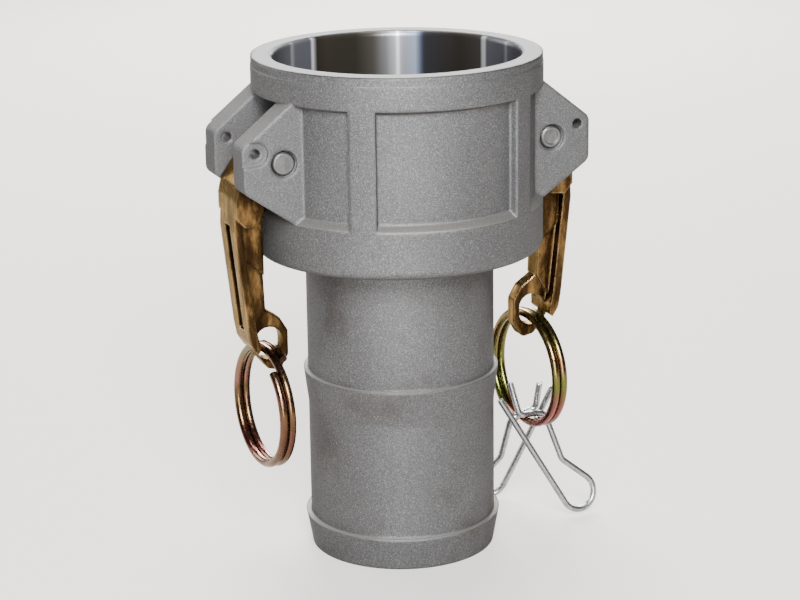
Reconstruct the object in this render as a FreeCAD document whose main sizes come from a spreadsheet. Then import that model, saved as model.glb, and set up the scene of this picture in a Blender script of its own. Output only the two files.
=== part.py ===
import FreeCAD, Part
import math
import os
import Sketcher

# Cam and groove coupling: female socket with two cam arms on a ridged hose shank.
# Z runs up the axis of the waterway, the origin is the middle of the hose end face,
# the arms are on +X (right) and -X (left), and -Y is the side seen in the photograph.

os.makedirs("parts", exist_ok=True)
doc = FreeCAD.newDocument("cam_and_groove_coupling")

# Driving sizes, in millimetres, degrees and turns
driving_sizes = (
    # casting, outside
    ("overall_height", 133.0),
    ("shank_radius", 24.75),
    ("hose_end_radius", 24.5),
    ("low_barb_radius", 26.1),
    ("low_barb_height", 8.8),
    ("high_barb_root", 39.5),
    ("high_barb_radius", 25.9),
    ("high_barb_height", 49.1),
    ("collar_height", 82.0),
    ("head_radius", 37.7),
    ("waist_radius", 35.5),
    ("waist_low_edge", 94.3),
    ("waist_low", 96.0),
    ("waist_high", 123.6),
    ("waist_high_edge", 124.6),
    ("lip_height", 130.7),
    ("lip_recess", 0.15),
    ("head_corner_round", 2.0),
    ("collar_root_round", 1.6),
    ("rib_angle", 10.5),
    ("rib_position", 54.5),
    # casting, machined inside
    ("waterway_radius", 22.5),
    ("socket_radius", 32.0),
    ("mouth_chamfer", 0.8),
    ("seat_height", 86.5),
    ("seat_groove_top", 93.2),
    ("seat_groove_radius", 33.6),
    ("slot_width", 15.5),
    ("slot_low", 100.0),
    ("slot_high", 124.2),
    ("slot_inner_reach", 28.0),
    # ears
    ("ear_thickness", 8.05),
    ("ear_root_reach", 30.0),
    ("ear_root_high", 128.6),
    ("ear_root_low", 91.4),
    ("ear_reach", 47.3),
    ("ear_tip_high", 114.8),
    ("ear_tip_low", 103.4),
    ("ear_corner_round", 2.6),
    ("locking_hole_reach", 43.9),
    ("locking_hole_height", 113.1),
    ("locking_hole_radius", 1.3),
    ("spot_face_radius", 3.1),
    ("spot_face_depth", 0.9),
    # pins
    ("pin_reach", 36.7),
    ("pin_height", 110.1),
    ("pin_hole_radius", 3.1),
    ("pin_recess_radius", 3.5),
    ("pin_recess_depth", 0.9),
    ("pin_radius", 3.0),
    ("pin_length", 31.2),
    ("pin_end_chamfer", 0.45),
    ("stake_radius", 1.9),
    ("stake_depth", 0.45),
    # gasket
    ("gasket_outer_radius", 33.3),
    ("gasket_inner_radius", 25.4),
    ("gasket_height", 6.35),
    ("gasket_edge_round", 0.8),
    # cam arms
    ("arm_web_width", 6.2),
    ("arm_flange_width", 12.0),
    ("arm_head_width", 14.6),
    ("arm_upper_web_width", 8.4),
    ("tab_corner_round", 1.6),
    ("arm_back_round", 2.5),
    ("arm_tab_width", 4.0),
    ("arm_channel_width", 4.6),
    ("cam_radius", 4.6),
    ("cam_bore_radius", 3.08),
    ("ring_hole_reach", 37.5),
    ("ring_hole_low", 59.3),
    ("ring_hole_high", 60.7),
    ("ring_hole_radius", 3.65),
    # pull rings
    ("ring_radius", 15.5),
    ("ring_wire_radius", 1.1),
    ("ring_pitch", 2.25),
    ("ring_turns", 1.96),
    ("ring_centre_height", 43.0),
    ("ring_left_yaw", 6.0),
    ("ring_right_yaw", 6.0),
    ("ring_left_end_angle", 42.0),
    ("ring_right_end_angle", 190.0),
    # safety clips
    ("clip_wire_radius", 0.85),
    ("clip_leg_length", 35.2),
    ("clip_bow_radius", 4.9),
    ("clip_neck_along", 24.8),
    ("clip_neck_across", 6.0),
    ("clip_neck_round", 2.5),
    ("clip_wave_high_along", 10.9),
    ("clip_wave_high_across", 9.0),
    ("clip_wave_high_round", 2.6),
    ("clip_wave_low_along", 6.9),
    ("clip_wave_low_across", 2.4),
    ("clip_wave_low_round", 1.6),
    ("clip_tip_along", -1.9),
    ("clip_tip_across", 5.2),
    ("clip_on_ring_along", 10.9),
    ("clip_on_ring_across", 4.35),
    ("clip_spread", 2.0),
)
sheet = doc.addObject("Spreadsheet::Sheet", "sizes")
for row, (alias, number) in enumerate(driving_sizes, start=1):
    sheet.set(f"A{row}", alias)
    sheet.set(f"B{row}", str(number))
    sheet.setAlias(f"B{row}", alias)
doc.recompute()


def size(expression):
    """The value of an expression of the sheet's sizes."""
    return float(sheet.evalExpression(expression))


def named(alias):
    """The expression for one size of the sheet."""
    return f"sizes.{alias}"


def new_body(label):
    body = doc.addObject("PartDesign::Body", label)
    body.Label = label
    return body


def origin_feature(body, role):
    return next(item for item in body.Origin.OriginFeatures if item.Role == role)


def new_sketch(body, name, plane, height=None, turned=0.0):
    """A sketch on one of the body's own planes, lifted off it by a sheet expression."""
    sketch = body.newObject("Sketcher::SketchObject", name)
    sketch.AttachmentSupport = (origin_feature(body, plane), [""])
    sketch.MapMode = "FlatFace"
    sketch.AttachmentOffset = FreeCAD.Placement(
        FreeCAD.Vector(0, 0, 0), FreeCAD.Rotation(FreeCAD.Vector(0, 1, 0), turned)
    )
    if height is not None:
        sketch.setExpression(".AttachmentOffset.Base.z", height)
    return sketch


def bind(sketch, kind, elements, expression):
    """One dimension of a sketch, driven by a sheet expression."""
    number = sketch.addConstraint(Sketcher.Constraint(kind, *elements, size(expression)))
    sketch.setExpression(f"Constraints[{number}]", expression)


def fix_point(sketch, element, end, across, up):
    for kind, axis, expression in (("DistanceX", -2, across), ("DistanceY", -1, up)):
        if expression == "0":
            sketch.addConstraint(Sketcher.Constraint("PointOnObject", element, end, axis))
        else:
            bind(sketch, kind, (-1, 1, element, end), expression)


def draw_outline(sketch, corners):
    """A closed outline of straight lines through corners given as pairs of expressions."""
    first = sketch.GeometryCount
    points = [FreeCAD.Vector(size(across), size(up), 0) for across, up in corners]
    count = len(points)
    for step in range(count):
        sketch.addGeometry(Part.LineSegment(points[step], points[(step + 1) % count]), False)
    for step in range(count):
        after = first + (step + 1) % count
        sketch.addConstraint(Sketcher.Constraint("Coincident", first + step, 2, after, 1))
    for step, (across, up) in enumerate(corners):
        fix_point(sketch, first + step, 1, across, up)


def draw_circle(sketch, across, up, radius):
    centre = FreeCAD.Vector(size(across), size(up), 0)
    circle = Part.Circle(centre, FreeCAD.Vector(0, 0, 1), size(radius))
    element = sketch.addGeometry(circle, False)
    fix_point(sketch, element, 3, across, up)
    bind(sketch, "Radius", (element,), radius)


def draw_upright_slot(sketch, across, low, high, radius):
    """A round-ended slot standing upright: two half circles joined by tangent lines."""
    x = size(across)
    ends = (size(low), size(high))
    reach = size(radius)
    first = sketch.GeometryCount
    for number, height in enumerate(ends):
        centre = FreeCAD.Vector(x, height, 0)
        circle = Part.Circle(centre, FreeCAD.Vector(0, 0, 1), reach)
        start = math.pi * (1 - number)
        sketch.addGeometry(Part.ArcOfCircle(circle, start, start + math.pi), False)
    right = Part.LineSegment(
        FreeCAD.Vector(x + reach, ends[0], 0), FreeCAD.Vector(x + reach, ends[1], 0)
    )
    left = Part.LineSegment(
        FreeCAD.Vector(x - reach, ends[1], 0), FreeCAD.Vector(x - reach, ends[0], 0)
    )
    sketch.addGeometry(right, False)
    sketch.addGeometry(left, False)
    for one, one_end, other, other_end in (
        (first, 2, first + 2, 1),
        (first + 2, 2, first + 1, 1),
        (first + 1, 2, first + 3, 1),
        (first + 3, 2, first, 1),
    ):
        sketch.addConstraint(Sketcher.Constraint("Tangent", one, one_end, other, other_end))
    fix_point(sketch, first, 3, across, low)
    fix_point(sketch, first + 1, 3, across, high)
    bind(sketch, "Radius", (first,), radius)


def revolve(body, name, kind, sketch, angle=360.0):
    feature = body.newObject(kind, name)
    feature.Profile = sketch
    feature.ReferenceAxis = (origin_feature(body, "Z_Axis"), [""])
    if isinstance(angle, str):
        feature.setExpression("Angle", angle)
        feature.Midplane = True
    else:
        feature.Angle = angle
    return feature


def extrude(body, name, kind, sketch, length, symmetric):
    """A pad or pocket of a sketch; no length means through everything both ways."""
    feature = body.newObject(kind, name)
    feature.Profile = sketch
    if symmetric:
        feature.SideType = "Symmetric"
    if length is None:
        feature.Type = "ThroughAll"
    else:
        feature.setExpression("Length", length)
    return feature


def edges_where(shape, wanted):
    names = []
    for number, edge in enumerate(shape.Edges, start=1):
        if wanted(edge):
            names.append(f"Edge{number}")
    return names


def round_edges(body, name, kind, wanted, amount):
    """A fillet or chamfer on the edges of the body's tip that a test picks out."""
    doc.recompute()
    base = body.Tip
    names = edges_where(base.Shape, wanted)
    if not names:
        raise ValueError(f"no edge for {name}")
    feature = body.newObject(kind, name)
    feature.Base = (base, names)
    feature.setExpression("Radius" if kind.endswith("Fillet") else "Size", amount)
    doc.recompute()
    return feature


def both_ends(edge):
    return edge.Vertexes[0].Point, edge.Vertexes[-1].Point


def lies_along_y(edge, x, z, tolerance=0.05):
    """True for a straight edge along Y through the given X (either side) and Z."""
    if edge.Curve.TypeId != "Part::GeomLine":
        return False
    for point in both_ends(edge):
        if abs(abs(point.x) - x) > tolerance or abs(point.z - z) > tolerance:
            return False
    return True


def is_round_at(edge, radius, height):
    """True for a circle about the Z axis at a height."""
    if edge.Curve.TypeId != "Part::GeomCircle":
        return False
    centre = edge.Curve.Center
    on_axis = math.hypot(centre.x, centre.y) < 0.01 and abs(centre.z - height) < 0.01
    return on_axis and abs(edge.Curve.Radius - radius) < 0.01


# Casting: turned outline
body = new_body("body")
outline = new_sketch(body, "outer_outline", "XZ_Plane")
draw_outline(
    outline,
    (
        ("0", "0"),
        (named("hose_end_radius"), "0"),
        (named("low_barb_radius"), named("low_barb_height")),
        (named("shank_radius"), named("low_barb_height")),
        (named("shank_radius"), named("high_barb_root")),
        (named("high_barb_radius"), named("high_barb_height")),
        (named("shank_radius"), named("high_barb_height")),
        (named("shank_radius"), named("collar_height")),
        (named("head_radius"), named("collar_height")),
        (named("head_radius"), named("waist_low_edge")),
        (named("waist_radius"), named("waist_low")),
        (named("waist_radius"), named("waist_high")),
        (named("head_radius"), named("waist_high_edge")),
        (named("head_radius"), named("lip_height")),
        ("sizes.head_radius - sizes.lip_recess", named("lip_height")),
        ("sizes.head_radius - sizes.lip_recess", named("overall_height")),
        ("0", named("overall_height")),
    ),
)
revolve(body, "outer_form", "PartDesign::Revolution", outline)

# Casting: four upright ribs across the waist, between the ears and the wide panels
for number, quarter in enumerate((0.0, 1.0)):
    for sign in (1.0, -1.0):
        azimuth = 180.0 * quarter + sign * size("sizes.rib_position")
        rib = new_sketch(body, f"rib_{number}_{int(sign)}_outline".replace("-", "m"), "XZ_Plane",
                         turned=azimuth)
        draw_outline(
            rib,
            (
                ("sizes.waist_radius - 1", named("waist_low_edge")),
                (named("head_radius"), named("waist_low_edge")),
                (named("head_radius"), named("waist_high_edge")),
                ("sizes.waist_radius - 1", named("waist_high_edge")),
            ),
        )
        revolve(body, f"rib_{number}_{int(sign)}".replace("-", "m"), "PartDesign::Revolution",
                rib, named("rib_angle"))

# Casting: ears, drawn on the near face of each pair and mirrored to the far side
ears = new_sketch(body, "ear_outlines", "XZ_Plane", height="sizes.slot_width / 2")
for sign in ("", "-"):
    draw_outline(
        ears,
        (
            (sign + named("ear_root_reach"), named("ear_root_high")),
            (sign + named("ear_reach"), named("ear_tip_high")),
            (sign + named("ear_reach"), named("ear_tip_low")),
            (sign + named("ear_root_reach"), named("ear_root_low")),
        ),
    )
near_ears = extrude(body, "near_ears", "PartDesign::Pad", ears, named("ear_thickness"), False)
doc.recompute()
far_ears = body.newObject("PartDesign::Mirrored", "far_ears")
far_ears.Originals = [near_ears]
far_ears.MirrorPlane = (origin_feature(body, "XZ_Plane"), [""])
body.Tip = far_ears
round_edges(
    body, "ear_corners", "PartDesign::Fillet",
    lambda edge: lies_along_y(edge, size("sizes.ear_reach"), size("sizes.ear_tip_high"))
    or lies_along_y(edge, size("sizes.ear_reach"), size("sizes.ear_tip_low")),
    named("ear_corner_round"),
)

# Casting: soft corners at the collar and at the underside of the head
round_edges(
    body, "head_corner", "PartDesign::Fillet",
    lambda edge: is_round_at(edge, size("sizes.head_radius"), size("sizes.collar_height")),
    named("head_corner_round"),
)
round_edges(
    body, "collar_root", "PartDesign::Fillet",
    lambda edge: is_round_at(edge, size("sizes.shank_radius"), size("sizes.collar_height")),
    named("collar_root_round"),
)

# Casting: machined waterway, gasket seat and socket
bore = new_sketch(body, "bore_outline", "XZ_Plane")
draw_outline(
    bore,
    (
        ("0", "-1"),
        (named("waterway_radius"), "-1"),
        (named("waterway_radius"), named("seat_height")),
        (named("seat_groove_radius"), named("seat_height")),
        (named("seat_groove_radius"), named("seat_groove_top")),
        (named("socket_radius"), named("seat_groove_top")),
        (named("socket_radius"), "sizes.overall_height - sizes.mouth_chamfer"),
        ("sizes.socket_radius + sizes.mouth_chamfer", named("overall_height")),
        ("sizes.socket_radius + sizes.mouth_chamfer", "sizes.overall_height + 1"),
        ("0", "sizes.overall_height + 1"),
    ),
)
revolve(body, "bore", "PartDesign::Groove", bore)

# Casting: slots for the cams, pin holes, locking holes and their spot faces
slots = new_sketch(body, "slot_outlines", "XZ_Plane")
for sign in ("", "-"):
    draw_outline(
        slots,
        (
            (sign + named("slot_inner_reach"), named("slot_low")),
            (sign + named("head_radius") + (" - 1" if sign else " + 1"), named("slot_low")),
            (sign + named("head_radius") + (" - 1" if sign else " + 1"), named("slot_high")),
            (sign + named("slot_inner_reach"), named("slot_high")),
        ),
    )
extrude(body, "slots", "PartDesign::Pocket", slots, named("slot_width"), True)
holes = new_sketch(body, "ear_holes", "XZ_Plane")
for sign in ("", "-"):
    draw_circle(holes, sign + named("pin_reach"), named("pin_height"), named("pin_hole_radius"))
    draw_circle(holes, sign + named("locking_hole_reach"), named("locking_hole_height"),
                named("locking_hole_radius"))
extrude(body, "pin_and_locking_holes", "PartDesign::Pocket", holes, None, True)


def sunk_in_ears(name, depth, draw):
    """A shallow pocket in the outer faces of the near ears, mirrored to the far ones."""
    sketch = new_sketch(body, f"{name}_outlines", "XZ_Plane",
                        height="sizes.slot_width / 2 + sizes.ear_thickness")
    draw(sketch)
    near = extrude(body, f"near_{name}", "PartDesign::Pocket", sketch, named(depth), False)
    doc.recompute()
    far = body.newObject("PartDesign::Mirrored", f"far_{name}")
    far.Originals = [near]
    far.MirrorPlane = (origin_feature(body, "XZ_Plane"), [""])
    body.Tip = far
    doc.recompute()


def draw_pin_recesses(sketch):
    for sign in ("", "-"):
        draw_circle(sketch, sign + named("pin_reach"), named("pin_height"),
                    named("pin_recess_radius"))


def draw_spot_face(sketch):
    draw_circle(sketch, "-" + named("locking_hole_reach"), named("locking_hole_height"),
                named("spot_face_radius"))


def draw_spot_run_out(sketch):
    """From the middle of the spot face straight out past the end of the ear."""
    low = "sizes.locking_hole_height - sizes.spot_face_radius"
    high = "sizes.locking_hole_height + sizes.spot_face_radius"
    inner = "-" + named("locking_hole_reach")
    draw_outline(sketch, ((inner, low), ("-sizes.ear_reach - 1", low),
                          ("-sizes.ear_reach - 1", high), (inner, high)))


sunk_in_ears("pin_recesses", "pin_recess_depth", draw_pin_recesses)
sunk_in_ears("spot_faces", "spot_face_depth", draw_spot_face)
sunk_in_ears("spot_run_outs", "spot_face_depth", draw_spot_run_out)

# Gasket in the socket
gasket = new_body("gasket")
section = new_sketch(gasket, "gasket_section", "XZ_Plane")
draw_outline(
    section,
    (
        (named("gasket_inner_radius"), named("seat_height")),
        (named("gasket_outer_radius"), named("seat_height")),
        (named("gasket_outer_radius"), "sizes.seat_height + sizes.gasket_height"),
        (named("gasket_inner_radius"), "sizes.seat_height + sizes.gasket_height"),
    ),
)
revolve(gasket, "gasket_ring", "PartDesign::Revolution", section)
round_edges(gasket, "gasket_edges", "PartDesign::Fillet", lambda edge: edge.Length > 50
            and edge.CenterOfMass.z > size("sizes.seat_height") + 1, named("gasket_edge_round"))

# Hinge pins through the ears; the right one has a staked end
for side, sign in (("left", "-"), ("right", "")):
    pin = new_body(f"pin_{side}")
    round_end = new_sketch(pin, f"pin_{side}_section", "XZ_Plane")
    draw_circle(round_end, sign + named("pin_reach"), named("pin_height"), named("pin_radius"))
    extrude(pin, f"pin_{side}_shaft", "PartDesign::Pad", round_end, named("pin_length"), True)
    round_edges(pin, f"pin_{side}_ends", "PartDesign::Chamfer",
                lambda edge: edge.Curve.TypeId == "Part::GeomCircle", named("pin_end_chamfer"))
    if side == "right":
        dimple = new_sketch(pin, "stake_outline", "XZ_Plane", height="sizes.pin_length / 2")
        draw_circle(dimple, sign + named("pin_reach"), named("pin_height"), named("stake_radius"))
        extrude(pin, "stake", "PartDesign::Pocket", dimple, named("stake_depth"), False)

# Cam arms: side outlines, each corner a reach from the waterway axis and a height
web_corners = ((46.7, 98.5), (47.1, 91.3), (44.3, 65.0), (43.6, 61.0), (38.6, 69.5),
               (38.95, 78.6), (39.0, 96.5), (38.4, 100.0))
upper_web_corners = ((44.9, 97.0), (43.9, 84.0), (42.4, 82.3), (39.0, 79.0), (39.0, 96.5))
flange_corners = ((46.7, 98.5), (47.1, 91.3), (44.3, 65.0), (43.6, 61.0), (41.9, 58.4),
                  (40.4, 60.0), (41.4, 62.2), (42.1, 65.3), (44.9, 91.3), (44.5, 98.5))
head_corners = ((40.6, 93.0), (44.6, 92.6), (46.9, 95.2), (46.9, 99.5), (46.0, 103.3),
                (43.2, 107.2), (41.25, 109.5), (35.1, 114.41), (31.6, 113.11), (34.8, 104.49),
                (37.0, 101.9), (38.4, 100.0), (39.0, 96.5))
tab_corners = ((41.0, 57.0), (38.0, 53.2), (34.6, 52.4), (32.3, 56.5), (32.3, 63.0),
               (34.4, 66.6), (38.6, 69.5), (42.6, 72.0), (43.4, 61.0))
channel_corners = ((49.0, 92.3), (45.45, 92.3), (42.65, 64.0), (49.0, 64.0))
cam_lobe_centre = (33.2, 108.8)
for name, corners in (
    ("web", web_corners),
    ("upper_web", upper_web_corners),
    ("flange", flange_corners),
    ("arm_head", head_corners),
    ("tab", tab_corners),
    ("channel", channel_corners),
    ("cam_lobe", (cam_lobe_centre,)),
):
    for number, corner in enumerate(corners):
        for part_name, value in zip(("reach", "level"), corner):
            row += 1
            alias = f"{name}_{part_name}_{number}"
            sheet.set(f"A{row}", alias)
            sheet.set(f"B{row}", str(value))
            sheet.setAlias(f"B{row}", alias)
doc.recompute()


def corner_names(name, corners):
    return [(f"sizes.{name}_reach_{number}", f"sizes.{name}_level_{number}")
            for number in range(len(corners))]


def arm_slab(arm, name, corners, width, kind="PartDesign::Pad"):
    sketch = new_sketch(arm, f"{arm.Label}_{name}_outline", "XZ_Plane")
    draw_outline(sketch, corner_names(name, corners))
    return extrude(arm, f"{arm.Label}_{name}", kind, sketch, named(width), True)


def at_corners(corners):
    return lambda edge: any(lies_along_y(edge, reach, level) for reach, level in corners)


for side, turn in (("left", 180.0), ("right", 0.0)):
    arm = new_body(f"cam_arm_{side}")
    arm_slab(arm, "flange", flange_corners, "arm_flange_width")
    arm_slab(arm, "web", web_corners, "arm_web_width")
    arm_slab(arm, "upper_web", upper_web_corners, "arm_upper_web_width")
    arm_slab(arm, "arm_head", head_corners, "arm_head_width")
    for name, across, up in (
        ("cam_boss", named("pin_reach"), named("pin_height")),
        ("cam_lobe", "sizes.cam_lobe_reach_0", "sizes.cam_lobe_level_0"),
    ):
        disc = new_sketch(arm, f"{arm.Label}_{name}_outline", "XZ_Plane")
        draw_circle(disc, across, up, named("cam_radius"))
        extrude(arm, f"{arm.Label}_{name}", "PartDesign::Pad", disc, named("arm_head_width"), True)
    arm_slab(arm, "tab", tab_corners, "arm_tab_width")
    round_edges(arm, f"{arm.Label}_tab_corners", "PartDesign::Fillet",
                at_corners(tab_corners[1:6]), named("tab_corner_round"))
    round_edges(arm, f"{arm.Label}_back_corners", "PartDesign::Fillet",
                at_corners((flange_corners[1], flange_corners[2], flange_corners[3])),
                named("arm_back_round"))
    arm_slab(arm, "channel", channel_corners, "arm_channel_width", "PartDesign::Pocket")
    openings = new_sketch(arm, f"{arm.Label}_hole_outlines", "XZ_Plane")
    draw_circle(openings, named("pin_reach"), named("pin_height"), named("cam_bore_radius"))
    draw_upright_slot(openings, named("ring_hole_reach"), named("ring_hole_low"),
                      named("ring_hole_high"), named("ring_hole_radius"))
    extrude(arm, f"{arm.Label}_holes", "PartDesign::Pocket", openings, None, True)
    arm.Placement = FreeCAD.Placement(
        FreeCAD.Vector(0, 0, 0), FreeCAD.Rotation(FreeCAD.Vector(0, 0, 1), turn)
    )

# Pull rings: a wire wound just under two turns, hung through the hole of the arm's tab.
# The winding is shifted along its own axis so that both strands straddle the hole's middle.
up = FreeCAD.Vector(0, 0, 1)


def ring_directions(side):
    """The ring's level direction in its own plane, and its axis."""
    yaw = math.radians(-size(f"sizes.ring_{side}_yaw"))
    level = FreeCAD.Vector(math.sin(yaw), math.cos(yaw), 0)
    axis = FreeCAD.Vector(math.cos(yaw), -math.sin(yaw), 0)
    return level, axis


for side, sign in (("left", -1.0), ("right", 1.0)):
    ring = new_body(f"pull_ring_{side}")
    wire_section = new_sketch(ring, f"pull_ring_{side}_section", "XZ_Plane")
    draw_circle(wire_section, named("ring_radius"), "0", named("ring_wire_radius"))
    coil = ring.newObject("PartDesign::AdditiveHelix", f"pull_ring_{side}_coil")
    coil.Profile = wire_section
    coil.ReferenceAxis = (origin_feature(ring, "Z_Axis"), [""])
    coil.Mode = "pitch-turns-angle"
    coil.setExpression("Pitch", named("ring_pitch"))
    coil.setExpression("Turns", named("ring_turns"))
    level, axis = ring_directions(side)
    start = size(f"sizes.ring_{side}_end_angle")
    first = up * math.cos(math.radians(start)) - level * math.sin(math.radians(start))
    second = axis.cross(first)
    # the strands pass the top once in each turn: the part turns at which they do, averaged
    sweep = start if first.cross(up).dot(axis) > 0 else 360.0 - start
    middle = (sweep / 360.0 + 0.5) * size("sizes.ring_pitch")
    centre = FreeCAD.Vector(sign * size("sizes.ring_hole_reach"), 0,
                            size("sizes.ring_centre_height"))
    ring.Placement = FreeCAD.Placement(
        centre - axis * middle, FreeCAD.Rotation(first, second, axis, "ZXY")
    )

# Safety clips: hairpins of bent wire threaded on the right ring, mirror images of one
# another; each lies in a plane set by the direction of its straight leg.


def bent_wire(corners, bends):
    """Edges through corners in one plane, each inner corner turned into a tangent arc."""
    edges = []
    last = corners[0]
    for number in range(1, len(corners) - 1):
        corner = corners[number]
        back = (corners[number - 1] - corner).normalize()
        ahead = (corners[number + 1] - corner).normalize()
        half = back.getAngle(ahead) / 2
        reach = bends[number - 1] / math.tan(half)
        middle = (back + ahead).normalize() * (bends[number - 1] * (1 / math.sin(half) - 1))
        begin = corner + back * reach
        end = corner + ahead * reach
        edges.append(Part.LineSegment(last, begin).toShape())
        edges.append(Part.Arc(begin, corner + middle, end).toShape())
        last = end
    edges.append(Part.LineSegment(last, corners[-1]).toShape())
    return edges


def clip_edges():
    length = size("sizes.clip_leg_length")
    radius = size("sizes.clip_bow_radius")
    centre = FreeCAD.Vector(length, radius, 0)
    neck = FreeCAD.Vector(size("sizes.clip_neck_along"), size("sizes.clip_neck_across"), 0)
    to_neck = neck - centre
    facing = math.atan2(to_neck.y, to_neck.x)
    leave = facing - math.acos(radius / to_neck.Length)
    middle = (leave - math.pi / 2) / 2
    on_bow = [centre + FreeCAD.Vector(math.cos(angle), math.sin(angle), 0) * radius
              for angle in (middle, leave)]
    leg_end = FreeCAD.Vector(length, 0, 0)
    straight = [Part.LineSegment(FreeCAD.Vector(0, 0, 0), leg_end).toShape(),
                Part.Arc(leg_end, on_bow[0], on_bow[1]).toShape()]
    corners = [on_bow[1]]
    bends = []
    for name in ("neck", "wave_high", "wave_low"):
        corners.append(FreeCAD.Vector(size(f"sizes.clip_{name}_along"),
                                      size(f"sizes.clip_{name}_across"), 0))
        bends.append(size(f"sizes.clip_{name}_round"))
    corners.append(FreeCAD.Vector(size("sizes.clip_tip_along"), size("sizes.clip_tip_across"), 0))
    return straight + bent_wire(corners, bends)


level, axis = ring_directions("right")
ring_bottom = FreeCAD.Vector(
    size("sizes.ring_hole_reach"), 0, size("sizes.ring_centre_height - sizes.ring_radius")
)
for label, sign, along, across in (
    ("safety_clip_front", -1.0, FreeCAD.Vector(0.481, -0.175, -0.859),
     FreeCAD.Vector(0.874, 0.166, 0.456)),
    ("safety_clip_rear", 1.0, FreeCAD.Vector(-0.227, 0.393, -0.891),
     FreeCAD.Vector(-0.969, -0.185, 0.165)),
):
    wire_end = Part.Wire(Part.Circle(FreeCAD.Vector(0, 0, 0), FreeCAD.Vector(1, 0, 0),
                                     size("sizes.clip_wire_radius")).toShape())
    clip = doc.addObject("Part::Feature", label)
    clip.Label = label
    clip.Shape = Part.Wire(clip_edges()).makePipeShell([wire_end], True, True)
    turn = FreeCAD.Rotation(along, across, along.cross(across), "XYZ")
    held = turn.multVec(FreeCAD.Vector(size("sizes.clip_on_ring_along"),
                                       size("sizes.clip_on_ring_across"), 0))
    place = ring_bottom + level * (sign * size("sizes.clip_spread")) - held
    clip.Placement = FreeCAD.Placement(place, turn)

# Checks of the features, then one file for each sub-part
doc.recompute()
for item in doc.Objects:
    if "Invalid" in item.State or "Error" in item.State:
        raise ValueError(f"{item.Name} did not build: {item.State}")
labels = ("body", "gasket", "pin_left", "pin_right", "cam_arm_left", "cam_arm_right",
          "pull_ring_left", "pull_ring_right", "safety_clip_front", "safety_clip_rear")
for label in labels:
    item = doc.getObject(label)
    shape = item.Shape
    if shape.isNull() or not shape.isValid() or len(shape.Solids) != 1:
        raise ValueError(f"{label} is not one sound solid")
    shape.exportStep(f"parts/{label}.step")
    print(label, round(shape.Volume), [round(value, 2) for value in (
        shape.BoundBox.XMin, shape.BoundBox.XMax, shape.BoundBox.YMin, shape.BoundBox.YMax,
        shape.BoundBox.ZMin, shape.BoundBox.ZMax)])
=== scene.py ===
import math

import bpy
from mathutils import Matrix, Vector

# Cam and groove coupling in cast aluminium, with brass cam arms, passivated rings and wire clips.
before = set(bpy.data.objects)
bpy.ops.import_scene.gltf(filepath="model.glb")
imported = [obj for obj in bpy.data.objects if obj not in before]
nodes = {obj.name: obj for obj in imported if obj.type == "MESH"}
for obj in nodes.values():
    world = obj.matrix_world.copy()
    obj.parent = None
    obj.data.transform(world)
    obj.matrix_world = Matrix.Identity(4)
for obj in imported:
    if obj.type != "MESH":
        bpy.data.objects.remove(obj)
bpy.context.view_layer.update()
print("stage: frame loaded")

bevelSamples = 6
mixSockets = {"factor": 0, "first": 6, "second": 7, "result": 2}  # of a Mix node on colours


# A node group with the named sockets, and its input and output nodes
def newGroup(name, inputs, outputs):
    group = bpy.data.node_groups.new(name, "ShaderNodeTree")
    for direction, sockets in (("INPUT", inputs), ("OUTPUT", outputs)):
        for label, kind in sockets:
            group.interface.new_socket(name=label, in_out=direction, socket_type=kind)
    return group, group.nodes.new("NodeGroupInput"), group.nodes.new("NodeGroupOutput")


def addNode(tree, kind, settings=None, values=None):
    node = tree.nodes.new(kind)
    for name, value in (settings or {}).items():
        setattr(node, name, value)
    for name, value in (values or {}).items():
        node.inputs[name].default_value = value
    return node


# Sets an input to a plain value, or links it to another node's output
def fillInput(tree, socket, given):
    if isinstance(given, (int, float, tuple)):
        socket.default_value = given
    else:
        tree.links.new(given, socket)


def addMath(tree, operation, *operands):
    node = addNode(tree, "ShaderNodeMath", {"operation": operation})
    for socket, given in zip(node.inputs, operands):
        fillInput(tree, socket, given)
    return node.outputs[0]


def addProduct(tree, first, *others):
    for other in others:
        first = addMath(tree, "MULTIPLY", first, other)
    return first


# Smooth step of a value, from the range low to high onto the range toLow to toHigh
def addRange(tree, value, low, high, toLow=0.0, toHigh=1.0):
    node = addNode(tree, "ShaderNodeMapRange", {"interpolation_type": "SMOOTHSTEP"},
                   {"From Min": low, "From Max": high, "To Min": toLow, "To Max": toHigh})
    tree.links.new(value, node.inputs["Value"])
    return node.outputs["Result"]


def addMix(tree, factor, first, second, blend="MIX"):
    node = addNode(tree, "ShaderNodeMix", {"data_type": "RGBA", "blend_type": blend})
    for label, given in (("factor", factor), ("first", first), ("second", second)):
        fillInput(tree, node.inputs[mixSockets[label]], given)
    return node.outputs[mixSockets["result"]]


def addNoise(tree, vector, scale, detail=3.0, roughness=0.5):
    node = addNode(tree, "ShaderNodeTexNoise", None,
                   {"Scale": scale, "Detail": detail, "Roughness": roughness})
    tree.links.new(vector, node.inputs["Vector"])
    return node.outputs["Fac"]


def addRamp(tree, value, stops):
    node = tree.nodes.new("ShaderNodeValToRGB")
    ramp = node.color_ramp
    while len(ramp.elements) < len(stops):
        ramp.elements.new(0.5)
    for element, (position, colour) in zip(ramp.elements, stops):
        element.position = position
        element.color = colour
    tree.links.new(value, node.inputs["Fac"])
    return node.outputs["Color"]


# Object or Normal coordinates, in the object's own frame
def readCoordinates(tree, label="Object"):
    return tree.nodes.new("ShaderNodeTexCoord").outputs[label]


def splitAxes(tree, vector):
    node = tree.nodes.new("ShaderNodeSeparateXYZ")
    tree.links.new(vector, node.inputs[0])
    return tuple(node.outputs)


def newMaterial(name):
    material = bpy.data.materials.new(name)
    material.use_nodes = True
    tree = material.node_tree
    shader = next(node for node in tree.nodes if node.type == "BSDF_PRINCIPLED")
    return material, tree, shader


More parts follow.
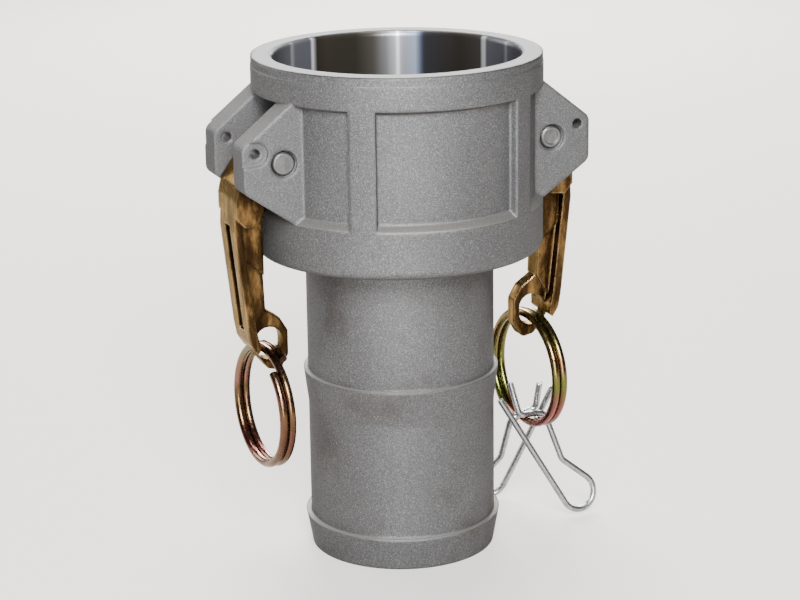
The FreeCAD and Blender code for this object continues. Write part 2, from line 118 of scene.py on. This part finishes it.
def setShader(shader, **values):
    for name, value in values.items():
        shader.inputs[name.replace("_", " ")].default_value = value


# Shared effect: grain of a blasted or cast skin, a fine and a coarse noise added by their shares
grainNoises = {
    "Fine": {"detail": 2.0, "roughness": 0.6, "share": 0.65},
    "Coarse": {"detail": 3.0, "roughness": 0.55, "share": 0.35},
}
grain, grainIn, grainOut = newGroup(
    "skinGrain",
    (("Vector", "NodeSocketVector"), ("Fine", "NodeSocketFloat"), ("Coarse", "NodeSocketFloat")),
    (("Grain", "NodeSocketFloat"),),
)
grainLayers = []
for label, layer in grainNoises.items():
    noise = addNode(grain, "ShaderNodeTexNoise", None,
                    {"Detail": layer["detail"], "Roughness": layer["roughness"]})
    grain.links.new(grainIn.outputs["Vector"], noise.inputs["Vector"])
    grain.links.new(grainIn.outputs[label], noise.inputs["Scale"])
    grainLayers.append(addMath(grain, "MULTIPLY", noise.outputs["Fac"], layer["share"]))
grain.links.new(addMath(grain, "ADD", *grainLayers), grainOut.inputs["Grain"])


def addGrain(tree, place, fine, coarse):
    node = addNode(tree, "ShaderNodeGroup", {"node_tree": grain}, {"Fine": fine, "Coarse": coarse})
    tree.links.new(place, node.inputs["Vector"])
    return node.outputs["Grain"]


# Shared effect: an edge mask for rubbed wear and painted edge highlight, found where the softened
# normal leaves the true one
edgeWearAndHighlight, edgeWearAndHighlightIn, edgeWearAndHighlightOut = newGroup(
    "edgeWearAndHighlightMask",
    (("Radius", "NodeSocketFloat"), ("Low", "NodeSocketFloat"), ("High", "NodeSocketFloat")),
    (("Edge", "NodeSocketFloat"),),
)
softNormal = addNode(edgeWearAndHighlight, "ShaderNodeBevel", {"samples": bevelSamples})
trueNormal = edgeWearAndHighlight.nodes.new("ShaderNodeNewGeometry")
agreement = addNode(edgeWearAndHighlight, "ShaderNodeVectorMath", {"operation": "DOT_PRODUCT"})
edgeWearAndHighlight.links.new(edgeWearAndHighlightIn.outputs["Radius"], softNormal.inputs["Radius"])
for source, socket in zip((softNormal, trueNormal), agreement.inputs):
    edgeWearAndHighlight.links.new(source.outputs["Normal"], socket)
turnedAway = addMath(edgeWearAndHighlight, "SUBTRACT", 1.0, agreement.outputs["Value"])
edgeRange = edgeWearAndHighlight.nodes.new("ShaderNodeMapRange")
for source, target in ((turnedAway, "Value"), (edgeWearAndHighlightIn.outputs["Low"], "From Min"),
                       (edgeWearAndHighlightIn.outputs["High"], "From Max")):
    edgeWearAndHighlight.links.new(source, edgeRange.inputs[target])
edgeWearAndHighlight.links.new(edgeRange.outputs["Result"], edgeWearAndHighlightOut.inputs["Edge"])
print("stage: shared effects built")


def addEdgeWearAndHighlight(tree, radius, low, high):
    return addNode(tree, "ShaderNodeGroup", {"node_tree": edgeWearAndHighlight},
                   {"Radius": radius, "Low": low, "High": high}).outputs["Edge"]


# Softens sharp edges by a radius and lays the bumps on top
def addBump(tree, shader, height, distance, edgeRadius, strength=1.0):
    soft = addNode(tree, "ShaderNodeBevel", {"samples": bevelSamples}, {"Radius": edgeRadius})
    bump = addNode(tree, "ShaderNodeBump", None, {"Strength": strength, "Distance": distance})
    tree.links.new(height, bump.inputs["Height"])
    tree.links.new(soft.outputs["Normal"], bump.inputs["Normal"])
    tree.links.new(bump.outputs["Normal"], shader.inputs["Normal"])


# In the looks below, lengths are in metres. A Noise is a scale, detail and roughness. A Range
# is a value's low and high and what they become, which is 0 and 1 where it isn't given.

# Cast aluminium, blasted outside
castLook = {
    # dull, paler and sparkling grains
    "tones": ((0.34, (0.065, 0.063, 0.060, 1)), (0.52, (0.104, 0.103, 0.104, 1)),
              (0.68, (0.23, 0.23, 0.24, 1))),
    "grainScales": (4500.0, 2200.0),
    "smudge": (0.050, 0.036, 0.028, 1), "smudgeShare": 0.42,
    "smudgeNoise": (42.0, 4.0, 0.6), "smudgeRange": (0.50, 0.72),
    "shankTopRange": (0.078, 0.084, 1.0, 0.12),
    "shadeNoise": (28.0, 2.0), "shadeRange": (0.30, 0.70, 0.90, 1.06),
    # painted highlight: ledges that face up are made paler and warmer, more so low on the body
    "paintedLedgeHighlight": (0.34, 0.325, 0.285, 1), "paintedLedgeHighlightUpRange": (0.30, 0.80, 0.0, 0.65),
    "paintedLedgeHighlightHeightRange": (0.090, 0.098, 1.0, 0.3),
    # paler edges, partly rubbed wear and partly painted edge highlight
    "edgeWearAndHighlight": (0.30, 0.295, 0.28, 1), "edgeWearAndHighlightWidth": 0.0006, "edgeWearAndHighlightRange": (0.01, 0.12),
    "edgeWearAndHighlightPatchNoise": (150.0,), "edgeWearAndHighlightPatchRange": (0.35, 0.65, 0.08, 0.32),
    "rim": (0.058, 0.056, 0.052, 1), "grazing": (0.25, 0.25, 0.25, 1),
    "roughness": 0.47, "metallic": 0.68,
    "bump": 0.00020, "bumpStrength": 0.8, "edgeSoftening": 0.0012,
}
# Machined socket, waterway and rim of the casting; the machined walls carry painted reflections
socketLook = {
    "wallRadius": 0.0345, "wallFoot": 0.0864, "waterRadius": 0.0235, "rimFoot": 0.1328,
    "roughness": 0.30, "rimRoughness": 0.45, "metallic": 0.55,
    # painted reflections: where a bright or dark band of painted reflection lies, as a share of a
    # turn round the wall, and its colour
    "paintedReflectionBands": (
        (0.000, (0.10, 0.10, 0.10, 1)), (0.507, (0.08, 0.08, 0.09, 1)),
        (0.512, (0.20, 0.20, 0.22, 1)), (0.517, (0.07, 0.07, 0.08, 1)),
        (0.5575, (0.09, 0.09, 0.10, 1)), (0.5605, (1.0, 1.0, 1.0, 1)),
        (0.5635, (0.045, 0.041, 0.037, 1)), (0.600, (0.028, 0.024, 0.019, 1)),
        (0.652, (0.030, 0.030, 0.034, 1)), (0.658, (0.10, 0.12, 0.17, 1)),
        (0.664, (0.32, 0.37, 0.48, 1)), (0.679, (0.28, 0.29, 0.31, 1)),
        (0.684, (0.38, 0.38, 0.39, 1)), (0.687, (1.0, 1.0, 1.0, 1)),
        (0.690, (0.40, 0.40, 0.41, 1)), (0.703, (0.16, 0.16, 0.16, 1)),
        (0.720, (0.060, 0.054, 0.046, 1)), (0.745, (0.030, 0.027, 0.021, 1)),
        (0.790, (0.038, 0.033, 0.025, 1)), (0.808, (0.026, 0.022, 0.017, 1)),
        (0.8112, (1.0, 1.0, 1.0, 1)), (0.8145, (0.10, 0.10, 0.12, 1)),
        (0.850, (0.13, 0.13, 0.14, 1)), (0.854, (0.40, 0.40, 0.42, 1)),
        (0.858, (0.12, 0.12, 0.13, 1)), (1.000, (0.10, 0.10, 0.10, 1)),
    ),
}


# Masks of the machined walls, which lie inside a radius, and of the rim
def addMachinedMasks(tree, x, y, z):
    radius = addMath(tree, "SQRT", addMath(tree, "ADD", addMath(tree, "MULTIPLY", x, x),
                                           addMath(tree, "MULTIPLY", y, y)))
    inSocket = addMath(tree, "MULTIPLY",
                       addMath(tree, "LESS_THAN", radius, socketLook["wallRadius"]),
                       addMath(tree, "GREATER_THAN", z, socketLook["wallFoot"]))
    inWater = addMath(tree, "LESS_THAN", radius, socketLook["waterRadius"])
    onRim = addMath(tree, "GREATER_THAN", z, socketLook["rimFoot"])
    return addMath(tree, "MAXIMUM", inSocket, inWater), onRim


# Painted reflections: bright and dark bands round the machined wall, by the share of a turn
def addPaintedBoreReflections(tree, x, y):
    share = addMath(tree, "DIVIDE", addMath(tree, "ARCTAN2", y, x), 2 * math.pi)
    return addRamp(tree, addMath(tree, "ADD", share, 0.5), socketLook["paintedReflectionBands"])


# The blasted skin: speckle, soiled patches, a slow shade, painted highlight on upward-facing
# ledges, and paler edges that are partly rubbed wear and partly painted edge highlight
def addCastSkin(tree, place, z, grainValue):
    skin = addRamp(tree, grainValue, castLook["tones"])
    soiled = addProduct(tree,
                        addRange(tree, addNoise(tree, place, *castLook["smudgeNoise"]),
                                 *castLook["smudgeRange"]),
                        addRange(tree, z, *castLook["shankTopRange"]), castLook["smudgeShare"])
    skin = addMix(tree, soiled, skin, castLook["smudge"])
    shade = addRange(tree, addNoise(tree, place, *castLook["shadeNoise"]), *castLook["shadeRange"])
    shadeColour = addNode(tree, "ShaderNodeCombineColor")
    for channel in shadeColour.inputs:
        tree.links.new(shade, channel)
    skin = addMix(tree, 1.0, skin, shadeColour.outputs[0], "MULTIPLY")
    # painted highlight: paler where the surface faces up, as if the top light catches it
    upward = splitAxes(tree, readCoordinates(tree, "Normal"))[2]
    paintedLedgeHighlightMask = addMath(tree, "MULTIPLY", addRange(tree, upward, *castLook["paintedLedgeHighlightUpRange"]),
                     addRange(tree, z, *castLook["paintedLedgeHighlightHeightRange"]))
    skin = addMix(tree, paintedLedgeHighlightMask, skin, castLook["paintedLedgeHighlight"])
    # paler edges: partly rubbed wear, partly painted edge highlight
    edgeWearAndHighlightShare = addMath(tree, "MULTIPLY",
                    addEdgeWearAndHighlight(tree, castLook["edgeWearAndHighlightWidth"], *castLook["edgeWearAndHighlightRange"]),
                    addRange(tree, addNoise(tree, place, *castLook["edgeWearAndHighlightPatchNoise"]),
                             *castLook["edgeWearAndHighlightPatchRange"]))
    return addMix(tree, edgeWearAndHighlightShare, skin, castLook["edgeWearAndHighlight"])


def makeCastAluminium():
    material, tree, shader = newMaterial("castAluminium")
    place = readCoordinates(tree)
    x, y, z = splitAxes(tree, place)
    grainValue = addGrain(tree, place, *castLook["grainScales"])
    machined, onRim = addMachinedMasks(tree, x, y, z)
    tooled = addMath(tree, "MAXIMUM", machined, onRim)
    # the machined walls take the painted reflection bands in place of the skin
    colour = addMix(tree, machined, addCastSkin(tree, place, z, grainValue),
                    addPaintedBoreReflections(tree, x, y))
    tree.links.new(addMix(tree, onRim, colour, castLook["rim"]), shader.inputs["Base Color"])
    wallRough = addRange(tree, machined, 0.0, 1.0, castLook["roughness"], socketLook["roughness"])
    rough = addMath(tree, "ADD",
                    addMath(tree, "MULTIPLY", wallRough, addMath(tree, "SUBTRACT", 1.0, onRim)),
                    addMath(tree, "MULTIPLY", onRim, socketLook["rimRoughness"]))
    tree.links.new(rough, shader.inputs["Roughness"])
    metal = addRange(tree, tooled, 0.0, 1.0, castLook["metallic"], socketLook["metallic"])
    tree.links.new(metal, shader.inputs["Metallic"])
    setShader(shader, Specular_Tint=castLook["grazing"])
    # only the blasted skin is grainy to the touch
    blasted = addMath(tree, "SUBTRACT", 1.0, tooled)
    addBump(tree, shader, addMath(tree, "MULTIPLY", grainValue, blasted), castLook["bump"],
            castLook["edgeSoftening"], castLook["bumpStrength"])
    return material


# Cast brass: golden brown, darkened by painted shade in the channel and hollows, paler on edges
# that are partly rubbed wear and partly painted edge highlight
brassLook = {
    "deep": (0.008, 0.004, 0.0016, 1), "body": (0.046, 0.025, 0.0095, 1),
    "bright": (0.26, 0.150, 0.054, 1), "toneStops": (0.26, 0.50, 0.72),
    "blotchNoise": (260.0, 5.0, 0.62), "blotchStretch": (1.0, 1.0, 0.35),
    # the outer channel, where painted shade darkens the floor: its side, top and foot, how far out
    # it begins, and the share of painted shade
    "channelSideRange": (0.00216, 0.002592, 1.0, 0.0),
    "channelTopRange": (0.0925, 0.0935, 1.0, 0.0), "channelFootRange": (0.0630, 0.0640),
    "channelOutRange": (0.0420, 0.0426), "channelPaintedShadeShare": 0.45,
    # painted shade: hollows within this reach are darkened toward the deep tone
    "paintedHollowShadeReach": 0.0035, "paintedHollowShadeSamples": 8, "paintedHollowShadeRange": (0.45, 0.95, 0.75, 0.0),
    # paler edges, partly rubbed wear and partly painted edge highlight
    "edgeWearAndHighlight": (0.78, 0.53, 0.25, 1), "edgeWearAndHighlightWidth": 0.0007, "edgeWearAndHighlightRange": (0.01, 0.12),
    "edgeWearAndHighlightPatchRange": (0.35, 0.62, 0.10, 0.50),
    "grazing": (0.94, 0.80, 0.60, 1), "roughRange": (0.3, 0.7, 0.35, 0.17), "metallic": 1.0,
    "grainScales": (900.0, 300.0), "bump": 0.00012, "edgeSoftening": 0.0012,
}


# Mask of the channel down the outer face of an arm, whose floor takes painted shade
def addChannelMask(tree, x, y, z):
    return addProduct(tree,
                      addRange(tree, addMath(tree, "ABSOLUTE", y), *brassLook["channelSideRange"]),
                      addRange(tree, z, *brassLook["channelTopRange"]),
                      addRange(tree, z, *brassLook["channelFootRange"]),
                      addRange(tree, addMath(tree, "ABSOLUTE", x), *brassLook["channelOutRange"]))


def makeCastBrass():
    material, tree, shader = newMaterial("castBrass")
    place = readCoordinates(tree)
    stretch = addNode(tree, "ShaderNodeVectorMath", {"operation": "MULTIPLY"})
    for socket, given in zip(stretch.inputs, (place, brassLook["blotchStretch"])):
        fillInput(tree, socket, given)
    blotch = addNoise(tree, stretch.outputs[0], *brassLook["blotchNoise"])
    tones = (brassLook["deep"], brassLook["body"], brassLook["bright"])
    tone = addRamp(tree, blotch, tuple(zip(brassLook["toneStops"], tones)))
    channel = addChannelMask(tree, *splitAxes(tree, place))
    # painted shade: the channel floor is darkened toward the deep tone
    tone = addMix(tree, addMath(tree, "MULTIPLY", channel, brassLook["channelPaintedShadeShare"]), tone,
                  brassLook["deep"])
    # painted shade: occluded hollows are darkened toward the deep tone
    paintedHollowShade = addNode(tree, "ShaderNodeAmbientOcclusion", {"samples": brassLook["paintedHollowShadeSamples"]},
                     {"Distance": brassLook["paintedHollowShadeReach"]})
    tone = addMix(tree, addRange(tree, paintedHollowShade.outputs["AO"], *brassLook["paintedHollowShadeRange"]), tone,
                  brassLook["deep"])
    # paler edges: partly rubbed wear, partly painted edge highlight
    edgeWearAndHighlightShare = addMath(tree, "MULTIPLY",
                    addEdgeWearAndHighlight(tree, brassLook["edgeWearAndHighlightWidth"], *brassLook["edgeWearAndHighlightRange"]),
                    addRange(tree, blotch, *brassLook["edgeWearAndHighlightPatchRange"]))
    tree.links.new(addMix(tree, edgeWearAndHighlightShare, tone, brassLook["edgeWearAndHighlight"]), shader.inputs["Base Color"])
    tree.links.new(addRange(tree, blotch, *brassLook["roughRange"]), shader.inputs["Roughness"])
    setShader(shader, Metallic=brassLook["metallic"], Specular_Tint=brassLook["grazing"])
    addBump(tree, shader, addGrain(tree, place, *brassLook["grainScales"]), brassLook["bump"],
            brassLook["edgeSoftening"])
    return material


# Pull rings: yellow passivate, its colour drifting along the wire and, by the lean, with height
ringLooks = {
    "passivatedCopper": {
        "tones": ((0.30, (0.20, 0.080, 0.060, 1)), (0.44, (0.11, 0.068, 0.032, 1)),
                  (0.55, (0.25, 0.115, 0.090, 1)), (0.70, (0.17, 0.140, 0.070, 1))),
        "lean": 0.05,
    },
    "passivatedOlive": {
        "tones": ((0.22, (0.26, 0.090, 0.080, 1)), (0.36, (0.20, 0.110, 0.055, 1)),
                  (0.50, (0.13, 0.150, 0.035, 1)), (0.75, (0.19, 0.105, 0.050, 1))),
        "lean": 0.14,
    },
}
ringSkin = {
    "driftNoise": (70.0, 2.0, 0.5), "leanRange": (0.026, 0.058),
    "wearNoise": (900.0,), "roughRange": (0.3, 0.7, 0.18, 0.30), "metallic": 1.0,
}


def makeRingFinish(name):
    material, tree, shader = newMaterial(name)
    look = ringLooks[name]
    place = readCoordinates(tree)
    drift = addNoise(tree, place, *ringSkin["driftNoise"])
    lean = addRange(tree, splitAxes(tree, place)[2], *ringSkin["leanRange"],
                    -look["lean"], look["lean"])
    tree.links.new(addRamp(tree, addMath(tree, "ADD", drift, lean), look["tones"]),
                   shader.inputs["Base Color"])
    tree.links.new(addRange(tree, addNoise(tree, place, *ringSkin["wearNoise"]),
                            *ringSkin["roughRange"]), shader.inputs["Roughness"])
    setShader(shader, Metallic=ringSkin["metallic"])
    return material


# Hinge pins and clips: plated steel, duller and darker where it is worn
steelLooks = {
    "zincPin": {"tone": (0.20, 0.20, 0.20), "roughness": 0.34},
    "brightWire": {"tone": (0.46, 0.47, 0.48), "roughness": 0.22},
}
steelSkin = {
    "wearNoise": (500.0, 3.0, 0.6), "darker": 0.62, "toneStops": (0.35, 0.62),
    "wearRange": (0.3, 0.7), "rougher": 0.12, "metallic": 0.95,
    "bump": 0.00006, "edgeSoftening": 0.0003,
}


def makePlatedSteel(name):
    material, tree, shader = newMaterial(name)
    look = steelLooks[name]
    wear = addNoise(tree, readCoordinates(tree), *steelSkin["wearNoise"])
    tones = [tuple(value * share for value in look["tone"]) + (1,)
             for share in (steelSkin["darker"], 1.0)]
    tree.links.new(addRamp(tree, wear, tuple(zip(steelSkin["toneStops"], tones))),
                   shader.inputs["Base Color"])
    tree.links.new(addRange(tree, wear, *steelSkin["wearRange"],
                            look["roughness"] + steelSkin["rougher"], look["roughness"]),
                   shader.inputs["Roughness"])
    setShader(shader, Metallic=steelSkin["metallic"])
    addBump(tree, shader, wear, steelSkin["bump"], steelSkin["edgeSoftening"])
    return material


# Gasket: black rubber with a faint bloom
rubberLook = {
    "tones": ((0.3, (0.012, 0.012, 0.013, 1)), (0.8, (0.035, 0.035, 0.036, 1))),
    "bloomNoise": (220.0, 4.0), "roughness": 0.62, "bump": 0.00005, "edgeSoftening": 0.0004,
}


def makeBlackRubber():
    material, tree, shader = newMaterial("blackRubber")
    bloom = addNoise(tree, readCoordinates(tree), *rubberLook["bloomNoise"])
    tree.links.new(addRamp(tree, bloom, rubberLook["tones"]), shader.inputs["Base Color"])
    setShader(shader, Roughness=rubberLook["roughness"])
    addBump(tree, shader, bloom, rubberLook["bump"], rubberLook["edgeSoftening"])
    return material


finishes = {
    "body": makeCastAluminium(),
    "gasket": makeBlackRubber(),
    "pin_left": makePlatedSteel("zincPin"),
    "cam_arm_left": makeCastBrass(),
    "pull_ring_left": makeRingFinish("passivatedCopper"),
    "pull_ring_right": makeRingFinish("passivatedOlive"),
    "safety_clip_front": makePlatedSteel("brightWire"),
}
finishes["pin_right"] = finishes["pin_left"]
finishes["cam_arm_right"] = finishes["cam_arm_left"]
finishes["safety_clip_rear"] = finishes["safety_clip_front"]
for name, finish in finishes.items():
    for slot in nodes[name].material_slots:
        slot.material = finish
print("stage: finishes set")

# Studio: a flat pale floor, soft area lights and an even world. Floor and world are dim to the
# object, so that shadows and reflections stay deep, and pale to the camera.
floorLook = {
    "half": 12.0, "colour": (0.47, 0.445, 0.41, 1), "roughness": 0.9,
    "glow": (1, 1, 1, 1), "glowSeen": 0.68,
}
worldLook = {"colour": (1.0, 1.0, 1.0, 1), "strength": 0.075, "strengthSeen": 0.72}
coolWhite = (0.96, 0.975, 1.0)
plainWhite = (1.0, 1.0, 1.0)
lightLooks = {
    "keyLight": {"place": (-0.26, -0.80, 0.62), "size": 0.40, "power": 32.0, "colour": coolWhite},
    "fillLight": {"place": (-0.36, -0.95, 0.16), "size": 0.35, "power": 7.0, "colour": coolWhite},
    "backLight": {"place": (0.10, 0.35, 1.10), "size": 0.5, "power": 18.0, "colour": plainWhite},
    "rearLight": {"place": (0.42, 0.95, 0.55), "size": 0.6, "power": 26.0, "colour": plainWhite},
    "leftRearLight": {"place": (-0.62, 0.92, 0.50), "size": 0.6, "power": 9.0,
                      "colour": plainWhite},
}
lightAim = Vector((0, 0, 0.07))


def makeFloor():
    mesh = bpy.data.meshes.new("floor")
    half = floorLook["half"]
    mesh.from_pydata([(-half, -half, 0), (half, -half, 0), (half, half, 0), (-half, half, 0)],
                     [], [(0, 1, 2, 3)])
    floor = bpy.data.objects.new("floor", mesh)
    bpy.context.scene.collection.objects.link(floor)
    material, tree, shader = newMaterial("paleFloor")
    setShader(shader, Base_Color=floorLook["colour"], Roughness=floorLook["roughness"],
              Emission_Color=floorLook["glow"])
    seen = tree.nodes.new("ShaderNodeLightPath").outputs["Is Camera Ray"]
    tree.links.new(addMath(tree, "MULTIPLY", seen, floorLook["glowSeen"]),
                   shader.inputs["Emission Strength"])
    mesh.materials.append(material)


def makeLights():
    for name, look in lightLooks.items():
        lamp = bpy.data.lights.new(name, "AREA")
        lamp.size = look["size"]
        lamp.energy = look["power"]
        lamp.color = look["colour"]
        light = bpy.data.objects.new(name, lamp)
        light.location = look["place"]
        toward = lightAim - Vector(look["place"])
        light.rotation_euler = toward.to_track_quat("-Z", "Y").to_euler()
        bpy.context.scene.collection.objects.link(light)


def makeWorld():
    world = bpy.data.worlds.new("studioWorld")
    world.use_nodes = True
    tree = world.node_tree
    background = next(node for node in tree.nodes if node.type == "BACKGROUND")
    background.inputs["Color"].default_value = worldLook["colour"]
    seen = tree.nodes.new("ShaderNodeLightPath").outputs["Is Camera Ray"]
    strength = addRange(tree, seen, 0.0, 1.0, worldLook["strength"], worldLook["strengthSeen"])
    tree.links.new(strength, background.inputs["Strength"])
    bpy.context.scene.world = world


# Camera of the photograph: it faces the upright axis, tipped down and rolled, in degrees
cameraLook = {
    "place": (-0.2176, -0.5414, 0.2355), "pitch": 16.15, "roll": 0.80,
    "lens": 103.3, "sensor": 36.0, "near": 0.01,
}


def makeCamera():
    place = Vector(cameraLook["place"])
    pitch = math.radians(cameraLook["pitch"])
    roll = math.radians(cameraLook["roll"])
    level = Vector((-place.x, -place.y, 0)).normalized()
    ahead = level * math.cos(pitch) - Vector((0, 0, math.sin(pitch)))
    side = ahead.cross(Vector((0, 0, 1))).normalized()
    above = side.cross(ahead)
    rolledSide = side * math.cos(roll) - above * math.sin(roll)
    rolledAbove = side * math.sin(roll) + above * math.cos(roll)
    turn = Matrix((rolledSide, rolledAbove, -ahead)).transposed().to_4x4()
    camera = bpy.data.objects.new("camera", bpy.data.cameras.new("camera"))
    camera.data.lens = cameraLook["lens"]
    camera.data.sensor_width = cameraLook["sensor"]
    camera.data.clip_start = cameraLook["near"]
    camera.matrix_world = Matrix.Translation(place) @ turn
    bpy.context.scene.collection.objects.link(camera)
    bpy.context.scene.camera = camera


makeFloor()
makeLights()
makeWorld()
makeCamera()
print("stage: studio set")
